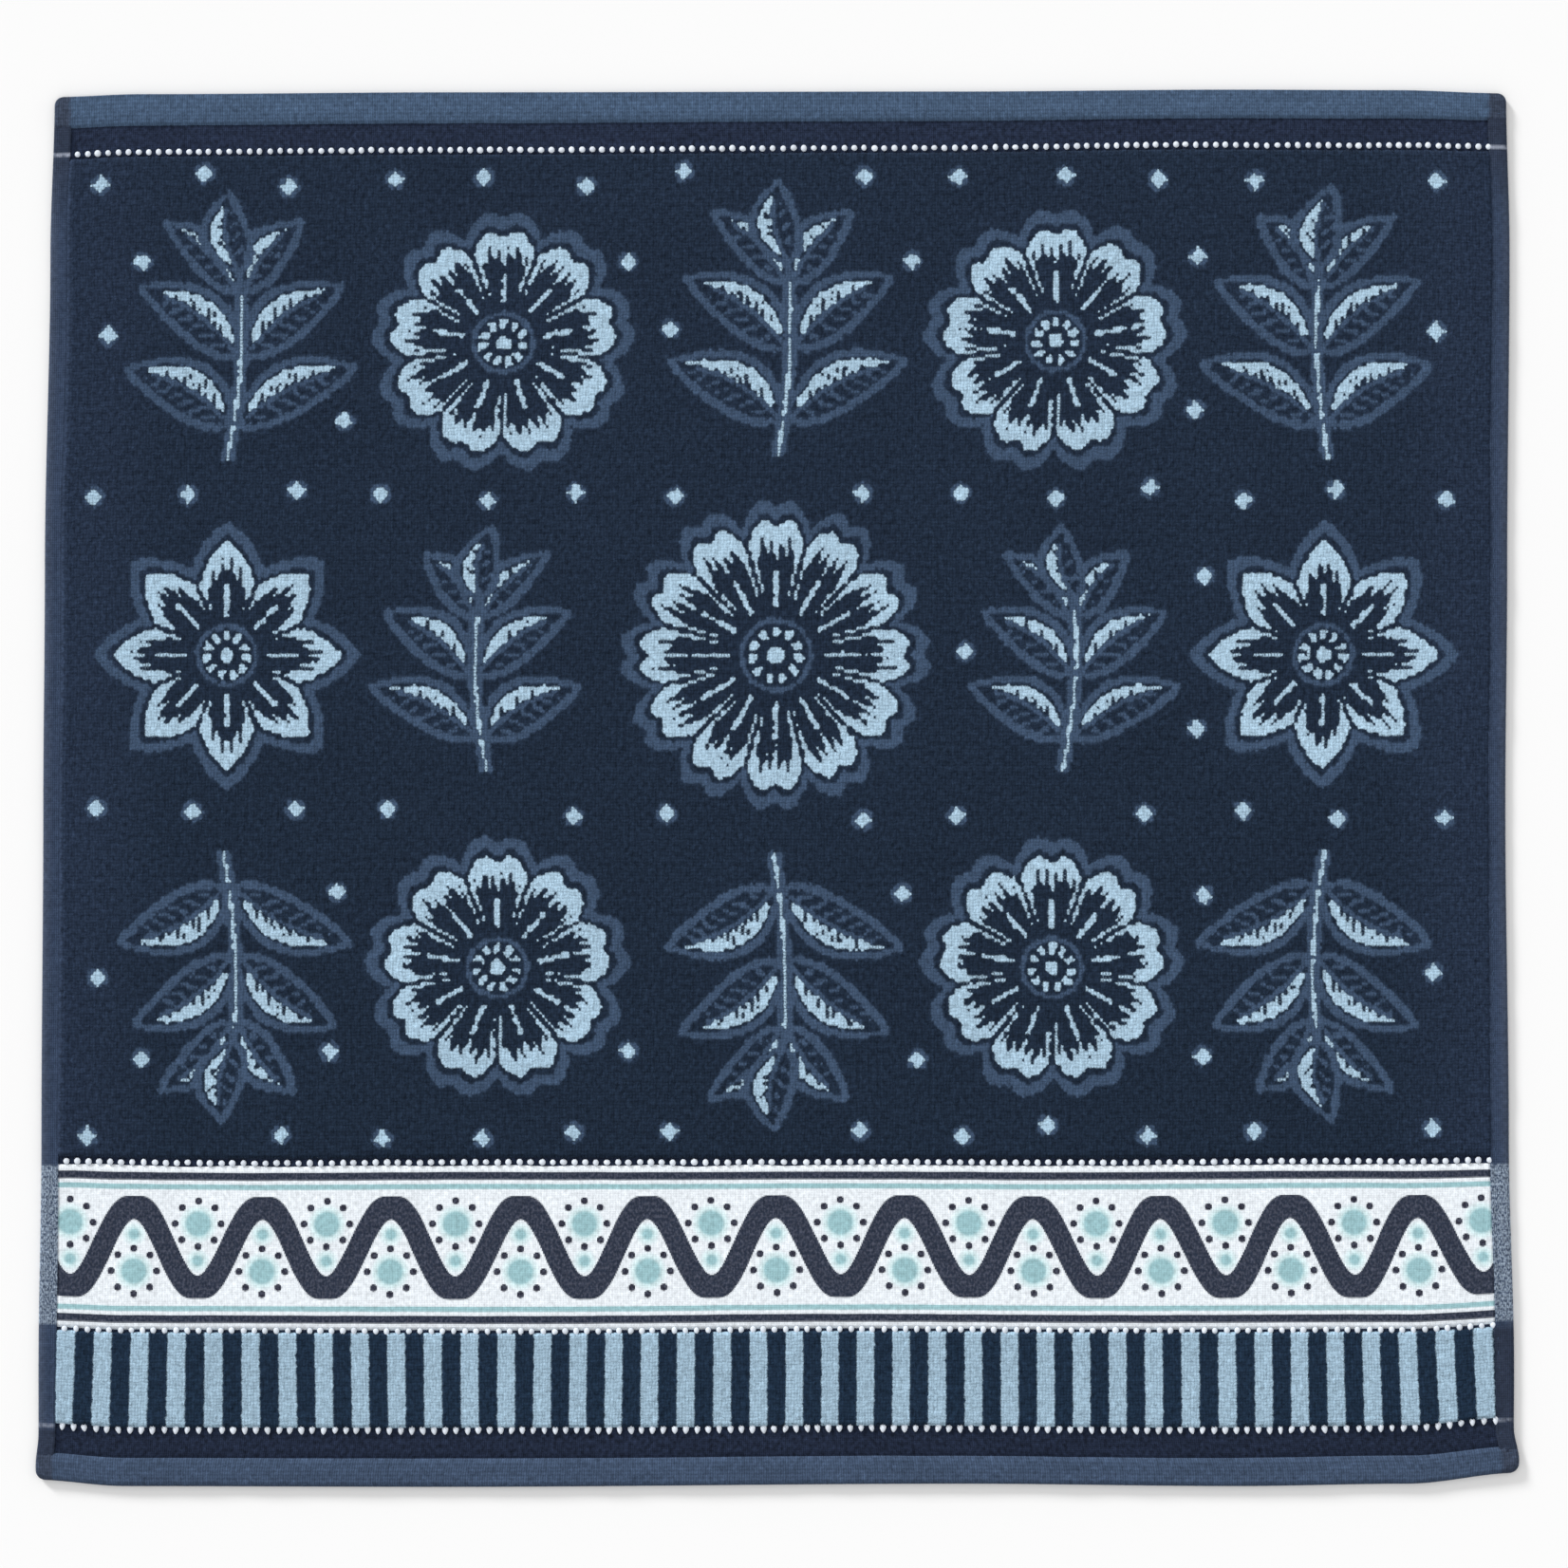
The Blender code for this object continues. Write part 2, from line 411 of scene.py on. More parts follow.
def sheet_piece(name, across_lines, down_lines, upper, lower):
    """A closed sheet over a rectangle of the flat cloth, between two height functions."""
    across, down = np.meshgrid(across_lines, down_lines)
    across, down = across.ravel(), down.ravel()
    x, y = lie(across, down)
    top = np.stack([x, y, FLOOR + upper(across, down)], 1)
    bottom = np.stack([x, y, FLOOR + lower(across, down)], 1)
    columns, rows = len(across_lines), len(down_lines)
    under = grid_quads(columns, rows, flip=True) + columns * rows
    faces = np.concatenate([grid_quads(columns, rows), under, wall_quads(columns, rows)])
    piece = new_object(name, np.concatenate([top, bottom]), faces)
    flat = np.stack([across, down, 0.0 * across], 1)
    store(piece, "cloth", np.concatenate([flat, flat]))
    store_map(piece, flat, closed=True)
    return piece


def rolled(distance, radius):
    """Height of a rolled edge, from 0 at the fold to 1 past its radius."""
    lean = 1.0 - np.clip(distance / radius, 0.0, 1.0)
    return np.sqrt(1.0 - lean * lean)


def from_rim(across, down):
    """Distance to the nearest folded edge of the cloth."""
    return np.minimum(WIDTH / 2 - np.abs(across), np.minimum(down, LENGTH - down))


# --- The ground weave, the band and the hems ---------------------------------------------

def build_ground():
    """The woven ground that carries everything: it shows in the flat strips and below."""
    inset = 0.0012
    half = WIDTH / 2 - inset
    strips = (*zone_span("top_flat_strip"), *zone_span("bottom_flat_strip"))
    rows = [spaced_lines(inset, LENGTH - inset, 0.0060)]
    rows += [place + 0.0004 * np.array([-1.0, 1.0]) for place in strips]

    def upper(across, down):
        height = np.full(across.shape, GROUND_FACE)
        bare = (("top_flat_strip", "top_dots"), ("bottom_dots", "bottom_flat_strip"),
                ("dots_over_band", "dots_over_band"), ("dots_under_band", "dots_under_band"))
        for first, last in bare:
            start, end = zone_span(first)[0], zone_span(last)[1]
            inside = smooth((down - start) / 0.0006 + 0.5) * smooth((end - down) / 0.0006 + 0.5)
            height += (STRIP_FACE - GROUND_FACE) * inside
        return height + 0.00008 * lumps(across, down, 0.030, 21)

    def lower(across, down):
        return np.full(across.shape, GROUND_UNDER)

    return sheet_piece(
        "ground_weave", spaced_lines(-half, half, 0.0060), joined_lines(*rows), upper, lower)


def build_band():
    """The flat jacquard band between its two rows of dots."""
    start, end = zone_span("flat_band")
    across_lines = spaced_lines(LEFT_INNER - HEM_TUCK, RIGHT_INNER + HEM_TUCK, 0.0016)
    down_lines = spaced_lines(start - BAND_REACH, end + BAND_REACH, 0.0016)

    def upper(across, down):
        from_edge = np.minimum(down - down_lines[0], down_lines[-1] - down)
        height = GROUND_FACE + (BAND_FACE - GROUND_FACE) * rolled(from_edge, 0.0012)
        return height + 0.00010 * lumps(across, down, 0.022, 31) * rolled(from_edge, 0.006)

    def lower(across, down):
        return np.full(across.shape, GROUND_FACE - 0.0003)

    return sheet_piece("flat_band", across_lines, down_lines, upper, lower)


def seam_relief(along, beside, depth, pucker_length):
    """Height that a seam adds to its hem: a groove, deepest at each stitch, and puckers."""
    away = beside / GROOVE
    hole = 0.55 + 0.45 * np.cos(2.0 * math.pi * along / STITCH_PITCH)
    puckers = np.exp(-(away / 4.0) ** 2) * np.cos(2.0 * math.pi * along / pucker_length)
    return PUCKER * puckers - depth * np.exp(-away * away) * hole


def build_end_hem(name, at_top):
    """A turned end hem: a rolled fold outside, an eased inner edge and a stitched groove."""
    reach = ZONES[0].length if at_top else ZONES[-1].length
    half = WIDTH / 2
    across_lines = joined_lines(
        edge_lines(-half, 1, 0.0030), edge_lines(half, -1, 0.0030),
        spaced_lines(-half + 0.0030, half - 0.0030, STITCH_PITCH / 2))
    depth = joined_lines(
        edge_lines(0.0, 1, 0.0020), spaced_lines(0.0020, reach - END_ROLL, 0.0008),
        edge_lines(reach, -1, END_ROLL))
    down_lines = depth if at_top else LENGTH - depth[::-1]
    stitch_depth = reach - END_SEAM

    def upper(across, down):
        inwards = down if at_top else LENGTH - down
        inner = rolled(reach - inwards, END_ROLL)
        face = END_HEM_FACE + 0.00010 * lumps(across, inwards * 3.0, 0.019, 41)
        face = face + seam_relief(across, inwards - stitch_depth, 0.00042, 0.0067)
        level = STRIP_FACE - 0.0003
        face = level + (face - level) * inner
        return HEM_MIDDLE + 0.0001 + (face - HEM_MIDDLE) * rolled(from_rim(across, down), 0.0017)

    def lower(across, down):
        return (HEM_MIDDLE - 0.0001) * (1.0 - rolled(from_rim(across, down), 0.0014))

    return sheet_piece(name, across_lines, down_lines, upper, lower)


def build_side_hem(name, side):
    """A turned side hem, which runs under the two end hems."""
    reach = RIGHT_HEM if side > 0 else LEFT_HEM
    depth = joined_lines(
        edge_lines(0.0, 1, 0.0020), spaced_lines(0.0020, reach - 0.0012, 0.0008),
        edge_lines(reach, -1, 0.0012))
    across_lines = WIDTH / 2 - depth[::-1] if side > 0 else depth - WIDTH / 2
    start = ZONES[0].length - 0.0020
    end = LENGTH - ZONES[-1].length + 0.0020
    stitch_depth = reach - SIDE_SEAM

    def upper(across, down):
        inwards = WIDTH / 2 - np.abs(across)
        inner = rolled(reach - inwards, 0.0011)
        face = SIDE_HEM_FACE + 0.00012 * lumps(inwards * 3.0, down, 0.021, 51 + side)
        face = face + seam_relief(down, inwards - stitch_depth, 0.00038, 0.0061)
        face = INNER_EDGE + (face - INNER_EDGE) * inner
        return HEM_MIDDLE + 0.0001 + (face - HEM_MIDDLE) * rolled(inwards, 0.0016)

    def lower(across, down):
        inwards = WIDTH / 2 - np.abs(across)
        return (HEM_MIDDLE - 0.0001) * (1.0 - rolled(inwards, 0.0013))

    return sheet_piece(
        name, across_lines, spaced_lines(start, end, STITCH_PITCH / 2), upper, lower)


# --- The pile -----------------------------------------------------------------------------

def loop_faces(corner, top, columns):
    """Four triangles round each loop's top, from the corner at its upper left."""
    right, below, across = corner + 1, corner + columns + 1, corner + columns + 2
    rim = (corner, below, across, right, corner)
    return np.concatenate([np.stack([a, b, top], 1) for a, b in zip(rim[:-1], rim[1:])])


def facing(points, faces):
    """The smooth direction of every point, so that strips meet without a line."""
    a, b, c = (points[faces[:, side]] for side in range(3))
    across_face = np.cross(b - a, c - a)
    total = np.zeros(points.shape)
    for side in range(3):
        for axis in range(3):
            total[:, axis] += np.bincount(faces[:, side], across_face[:, axis], len(points))
    return total / np.maximum(np.linalg.norm(total, axis=1), 1e-12)[:, None]


def yarn_shares(choose_yarn, across, down, draw):
    """How far each point belongs to the light and to the mid-blue yarn.

    Every loop top is all of one yarn. A corner takes the average of the four loops round it.
    """
    wobble = draw.normal(0.0, LOOP_LEAN, (2, *across.shape))
    yarn = choose_yarn(across + LOOP_ACROSS * wobble[0], down + LOOP_DOWN * wobble[1])
    shares = []
    for kind in (FIGURE, OUTLINE):
        top = (yarn == kind).astype(float)
        ring = np.pad(top, 1, mode="edge")
        corner = (ring[:-1, :-1] + ring[1:, :-1] + ring[:-1, 1:] + ring[1:, 1:]) / 4
        shares.append(np.concatenate([corner.ravel(), top.ravel()]))
    return shares


def build_pile(name, start, end, strips, choose_yarn, seed):
    """A stretch of terry in strips: a lattice of loop tops, each over four corners."""
    draw = np.random.default_rng(seed)
    left, right = LEFT_INNER - LOOP_ACROSS, RIGHT_INNER + LOOP_ACROSS
    columns = int(round((right - left) / LOOP_ACROSS))
    rows = int(round((end - start) / LOOP_DOWN))
    corner_place = np.meshgrid(np.arange(columns + 1.0), np.arange(rows + 1.0))
    top_place = np.meshgrid(np.arange(columns) + 0.5, np.arange(rows) + 0.5)
    corners = (columns + 1) * (rows + 1)
    column, row = (np.concatenate([c.ravel(), t.ravel()]) for c, t in zip(corner_place, top_place))
    across = left + column * (right - left) / columns
    down = start + row * (end - start) / rows
    high = np.arange(len(column)) >= corners
    at_side = (column < 1) | (column > columns - 1)
    border = at_side | (row == 0) | (row == rows)

    lean = draw.normal(0.0, LOOP_LEAN, (2, len(column))) * np.array([[LOOP_ACROSS], [LOOP_DOWN]])
    lean[:, border] = 0.0
    height = np.where(high, PILE_FACE, PILE_FOOT)
    height = height + np.where(high, 0.00010, 0.00007) * draw.normal(0.0, 1.0, len(column))
    height = height + 0.00010 * lumps(across, down, 0.040, 61)
    height = np.where(border, np.where(at_side, SIDE_FOOT, GROUND_FACE + 0.0002), height)
    x, y = lie(across + lean[0], down + lean[1])
    points = np.stack([x, y, FLOOR + height], 1)
    flat = np.stack([across, down, 0.0 * across], 1)
    loops = slice(corners, None)
    light, middle = yarn_shares(
        choose_yarn, across[loops].reshape(rows, columns), down[loops].reshape(rows, columns), draw)

    cells = np.meshgrid(np.arange(columns), np.arange(rows))
    cell_column, cell_row = (part.ravel() for part in cells)
    corner = cell_row * (columns + 1) + cell_column
    top = corners + cell_row * columns + cell_column
    normals = facing(points, loop_faces(corner, top, columns))

    pieces = []
    cuts = np.linspace(0, rows, strips + 1).astype(int)
    for number, (first, last) in enumerate(zip(cuts[:-1], cuts[1:]), 1):
        held_corners = np.arange(first * (columns + 1), (last + 1) * (columns + 1))
        held_tops = corners + np.arange(first * columns, last * columns)
        held = np.concatenate([held_corners, held_tops])
        new_place = np.zeros(len(points), np.int32)
        new_place[held] = np.arange(len(held))
        inside = (cell_row >= first) & (cell_row < last)
        faces = new_place[loop_faces(corner[inside], top[inside], columns)]
        label = f"{name}_{number}" if strips > 1 else name
        piece = new_object(label, points[held], faces)
        piece.data.normals_split_custom_set_from_vertices(normals[held])
        store(piece, "cloth", flat[held])
        store(piece, "loop", np.stack([column, row, 0.0 * row], 1)[held])
        store(piece, "light_yarn", light[held])
        store(piece, "mid_yarn", middle[held])
        store_map(piece, flat[held])
        pieces.append(piece)
    return pieces


# --- The woven design, in millimetres from the middle of the terry body ---------------------

PLAIN, OUTLINE, FIGURE = 0, 1, 2     # the navy, mid-blue and light-blue yarns of the pile

Blossom = namedtuple("Blossom", "x y radius petals pointed")
BLOSSOMS = (
    Blossom(0, 0, 52, 12, False),
    Blossom(-104, 118, 43, 9, False),
    Blossom(104, 118, 43, 9, False),
    Blossom(-104, -118, 43, 9, False),
    Blossom(104, -118, 43, 9, False),
    Blossom(-206, 0, 43, 8, True),
    Blossom(206, 0, 43, 8, True),
)

Sprig = namedtuple("Sprig", "x y height sway way_up")
SPRIGS = (
    Sprig(0, 124, 100, 4, 1),
    Sprig(0, -124, 100, 4, -1),
    Sprig(-207, 122, 98, 5, 1),
    Sprig(207, 122, 98, -5, 1),
    Sprig(-207, -122, 98, 5, -1),
    Sprig(207, -122, 98, -5, -1),
    Sprig(-108, 0, 88, -5, 1),
    Sprig(108, 0, 88, 5, 1),
)

# Pairs of leaves up a sprig: height as a share of half the sprig, lean and size
LeafPair = namedtuple("LeafPair", "foot lean size")
LEAF_PAIRS = (
    LeafPair(-0.70, 1.10, 1.00),
    LeafPair(-0.16, 0.95, 0.95),
    LeafPair(0.34, 0.74, 0.74),
)

STAR_SIZE = 3.9           # from the middle to a point
STAR_POWER = 0.85         # below 1 draws the sides in
STAR_HALO = 4.0
STAR_STEP = 36.0          # from a star to the next in its line
STAR_LINE_STEP = 30.0
FAR = 999.0


def fold(value, period):
    """Signed distance from the nearest whole number of periods."""
    return (value + period / 2) % period - period / 2


def draw_blossom(x, y, radius, petals, pointed):
    """Yarn of each place, and its distance outside the blossom's halo."""
    angle = np.arctan2(y, x) - math.pi / 2
    r = np.hypot(x, y)
    sector = 2.0 * math.pi / petals
    off = fold(angle, sector)                       # angle from the petal's middle line
    share = np.abs(off) / (sector / 2)              # 0 on the middle line, 1 between petals
    beside = r * np.sin(off)
    between = r * np.sin(sector / 2 - np.abs(off))  # distance to the line between petals
    if pointed:
        outline = radius * (1.0 - 0.36 * share ** 1.15)
    else:
        notch = 0.07 * np.exp(-((share / 0.22) ** 2))
        outline = radius * (1.0 - 0.22 * share ** 2.6 - notch)
    inside = (r < outline) & (between > 0.8) & (r > 0.24 * radius + 1.6)
    stroke = np.abs(fold(beside, 3.4)) / 1.7        # 0 in the middle of a stroke, 1 between
    reach = 4.0 + (0.30 * radius - 4.0) * (1.0 - stroke) ** 0.8 * (1.0 - 0.45 * share)
    cap = outline - r < reach
    edge = (between < 0.8 + 2.6 * np.clip(r / radius, 0, 1) ** 1.5) & (r > 0.42 * radius)
    vein = (np.abs(beside) < 0.9) & (r < 0.62 * radius) & (r > 0.34 * radius)
    light = inside & (cap | edge | vein)
    light |= (np.abs(r - 0.17 * radius) < 1.9) & (np.cos(angle * 11.0) > -0.25)
    light |= r < 0.065 * radius
    outside = r - outline
    halo = (outside > 2.6) & (outside < 7.4)
    halo |= (r > 0.235 * radius) & (r < 0.235 * radius + 1.7)
    yarn = np.where(light, FIGURE, np.where(halo, OUTLINE, PLAIN))
    return yarn, outside - 7.4


def draw_leaf(x, y, foot, lean, length, width, side):
    """Yarn of each place, and its distance outside an almond leaf that leans from +y."""
    dx, dy = x - foot[0], y - foot[1]
    u = (dx * math.sin(lean) + dy * math.cos(lean)) / length    # 0 at the foot, 1 at the tip
    held = np.clip(u, 0.0, 1.0)
    v = (dx * math.cos(lean) - dy * math.sin(lean)) * side
    v = v + 0.20 * width * np.sin(math.pi * held)               # the tip curls up
    half = width / 2 * np.sin(math.pi * held ** 0.82) ** 0.8
    overshoot = np.maximum(np.maximum(-u, u - 1.0), 0.0) * length
    away = np.hypot(np.maximum(np.abs(v) - half, 0.0), overshoot)
    depth = np.where((u > 0.0) & (u < 1.0), half - np.abs(v), -away)
    rim = (away < 1.6) & (depth < 1.5)
    comb = np.abs(fold(u * length + v * 0.8, 3.5)) < 1.05
    reach = 0.30 + 0.16 * np.cos(2.0 * math.pi * u * length / 7.0)
    lit = (depth > 2.4) & (v < -0.9) & (comb | (depth < 2.4 + reach * width / 2)) & (u > 0.10)
    vein = (depth > 1.5) & (np.abs(v) < 0.85) & (u < 0.80)
    shade = (depth > 2.4) & (v > 1.8) & (np.abs(fold(u * length - v * 0.8, 5.2)) < 0.9)
    yarn = np.where(lit, FIGURE, np.where(rim | vein | shade, OUTLINE, PLAIN))
    return yarn, away - 1.6


def draw_sprig(x, y, height, sway):
    """Yarn of each place, and its distance outside a curved stem with pairs of leaves."""
    half = height / 2
    x = x - sway * np.sin(math.pi * (y + half) / height)
    on_stem = (y > -half) & (y < 0.6 * half)
    yarn = np.where(on_stem & (np.abs(x) < 2.6), OUTLINE, PLAIN)
    yarn = np.where(on_stem & (np.abs(x) < 0.8), FIGURE, yarn)
    away = np.where(on_stem, np.abs(x) - 2.6, FAR)
    leaves = [
        ((side * 1.8, pair.foot * half), side * pair.lean,
         0.47 * height * pair.size, 0.20 * height * pair.size, side)
        for pair in LEAF_PAIRS for side in (-1, 1)]
    leaves.append(((0.0, 0.48 * half), 0.0, 0.30 * height, 0.17 * height, 1))
    for leaf in leaves:
        new, out = draw_leaf(x, y, *leaf)
        yarn = np.where(out < 0.0, new, yarn)
        away = np.minimum(away, out)
    return yarn, away


def draw_star(x, y, size):
    """Whether each place is on a small star with four points."""
    return np.abs(x) ** STAR_POWER + np.abs(y) ** STAR_POWER < size ** STAR_POWER


def add_stars(x, y, yarn, away):
    """Scatter small stars over the plain ground between the blossoms and sprigs."""
    draw = np.random.default_rng(3)
    for line, middle_y in enumerate(np.arange(-180.0, 181.0, STAR_LINE_STEP)):
        for middle_x in np.arange(-255.0 + (line % 2) * STAR_STEP / 2, 256.0, STAR_STEP):
            star_x = middle_x + draw.uniform(-3.0, 3.0)
            star_y = middle_y + draw.uniform(-3.0, 3.0)
            near = (np.abs(x - star_x) < 6.0) & (np.abs(y - star_y) < 6.0)
            if not near.any() or away[near].min() < 2.0:
                continue
            beside, above = x[near] - star_x, y[near] - star_y
            glow = np.where(np.hypot(beside, above) < STAR_HALO, OUTLINE, yarn[near])
            yarn[near] = np.where(draw_star(beside, above, STAR_SIZE), FIGURE, glow)


def body_yarn(across, down):
    """Yarn at each place of the terry body."""
    start, end = zone_span("terry_body")
    x = across / MM
    y = ((start + end) / 2 - down) / MM
    yarn = np.full(x.shape, PLAIN)
    away = np.full(x.shape, FAR)
    for flower in BLOSSOMS:
        reach = flower.radius + 20.0
        near = (np.abs(x - flower.x) < reach) & (np.abs(y - flower.y) < reach)
        new, out = draw_blossom(
            x[near] - flower.x, y[near] - flower.y, flower.radius, flower.petals, flower.pointed)
        yarn[near] = np.where(out < 0.0, new, yarn[near])
        away[near] = np.minimum(away[near], out)
    for spray in SPRIGS:
        reach = spray.height * 0.6 + 20.0
        near = (np.abs(x - spray.x) < reach) & (np.abs(y - spray.y) < reach)
        new, out = draw_sprig(
            x[near] - spray.x, (y[near] - spray.y) * spray.way_up, spray.height, spray.sway)
        yarn[near] = np.where((new > PLAIN) & (away[near] > 1.5), new, yarn[near])
        away[near] = np.minimum(away[near], out)
    add_stars(x, y, yarn, away)
    return yarn


def stripe_yarn(across, down):
    """Yarn at each place of the striped border: light stripes with a navy one between."""
    return np.where((across - LEFT_INNER) / STRIPE_PITCH % 1.0 < 0.5, FIGURE, PLAIN)


# --- Dots and stitches ----------------------------------------------------------------------

# Name and zone of each row of dots, how many it has, and a dot's width, height and taper
DotRow = namedtuple("DotRow", "name zone count width height taper")
DOT_ROWS = (
    DotRow("dots_top", "top_dots", 141, 0.0023, 0.0023, 0.0),
    DotRow("dots_over_band", "dots_over_band", 130, 0.0024, 0.0024, 0.0),
    DotRow("dots_under_band", "dots_under_band", 130, 0.0021, 0.0026, 0.20),
    DotRow("dots_bottom", "bottom_dots", 130, 0.0022, 0.0032, 0.35),
)


def ball(rings, sides):
    """Points and faces of a unit ball, its poles closed with small flat caps."""
    points = []
    for ring in range(1, rings):
        polar = math.pi * ring / rings
        for side in range(sides):
            turn = 2.0 * math.pi * side / sides
            points.append((
                math.sin(polar) * math.cos(turn), math.cos(polar),
                math.sin(polar) * math.sin(turn)))
    points += [(0.0, 1.0, 0.0), (0.0, -1.0, 0.0)]
    top, bottom = len(points) - 2, len(points) - 1
    faces = []
    for side in range(sides):
        beside = (side + 1) % sides
        faces.append((top, beside, side))
        last = (rings - 2) * sides
        faces.append((bottom, last + side, last + beside))
        for ring in range(rings - 2):
            a, b = ring * sides + side, ring * sides + beside
            faces.append((a, b, b + sides))
            faces.append((a, b + sides, a + sides))
    return np.array(points), np.array(faces)


def scattered(name, shape, places, heights, sizes, turns, taper=0.0):
    """Many copies of one small shape in one mesh, each with its own place, size and turn.

    A taper draws their lower ends in."""
    points, faces = shape
    count = len(places)
    local = points[None] * sizes[:, None, :]
    local[..., 0] *= 1.0 + taper * points[None, :, 1]
    cos, sin = np.cos(turns)[:, None], np.sin(turns)[:, None]
    right = local[..., 0] * cos - local[..., 1] * sin
    up = local[..., 0] * sin + local[..., 1] * cos
    x, y = lie(places[:, 0], places[:, 1])
    placed = np.stack([
        x[:, None] + right, y[:, None] + up, FLOOR + heights[:, None] + local[..., 2]], 2)
    flat = np.stack([places[:, 0, None] + right, places[:, 1, None] - up, 0.0 * right], 2)
    every = (faces[None] + (np.arange(count) * len(points))[:, None, None]).reshape(-1, 3)
    piece = new_object(name, placed.reshape(-1, 3), every)
    store(piece, "cloth", flat.reshape(-1, 3))
    store(piece, "tone", np.repeat(np.random.default_rng(7).normal(0.0, 1.0, count), len(points)))
    return piece


def build_dots(name, zone, count, width, height, taper, seed):
    """A row of white picot dots, each a fat little loop."""
    draw = np.random.default_rng(seed)
    start, end = zone_span(zone)
    left = LEFT_INNER + 0.0008
    right = RIGHT_INNER + 0.0020
    pitch = (right - left) / count
    across = left + (np.arange(count) + 0.5) * pitch + draw.normal(0.0, 0.00010, count)
    down = (start + end) / 2 + draw.normal(0.0, 0.00007, count)
    sizes = np.array([width / 2, height / 2, 0.00050]) * draw.normal(1.0, 0.06, (count, 3))
    return scattered(
        name, ball(6, 8), np.stack([across, down], 1), np.full(count, STRIP_FACE + 0.00045),
        sizes, draw.normal(0.0, 0.12, count), taper)


def build_stitches(name, first, last, height, seed):
    """A seam of lockstitches along a straight line of the flat cloth."""
    draw = np.random.default_rng(seed)
    first, last = np.array(first), np.array(last)
    length = np.linalg.norm(last - first)
    count = int(length / STITCH_PITCH)
    share = (np.arange(count) + 0.5) / count
    places = first + (last - first) * share[:, None] + draw.normal(0.0, 0.00005, (count, 2))
    heading = math.atan2(last[0] - first[0], last[1] - first[1])
    sizes = np.array([0.00020, 0.00118, 0.00020]) * draw.normal(1.0, 0.05, (count, 3))
    return scattered(
        name, ball(5, 6), places, np.full(count, height), sizes,
        -heading + draw.normal(0.0, 0.05, count))


# --- Materials ------------------------------------------------------------------------------

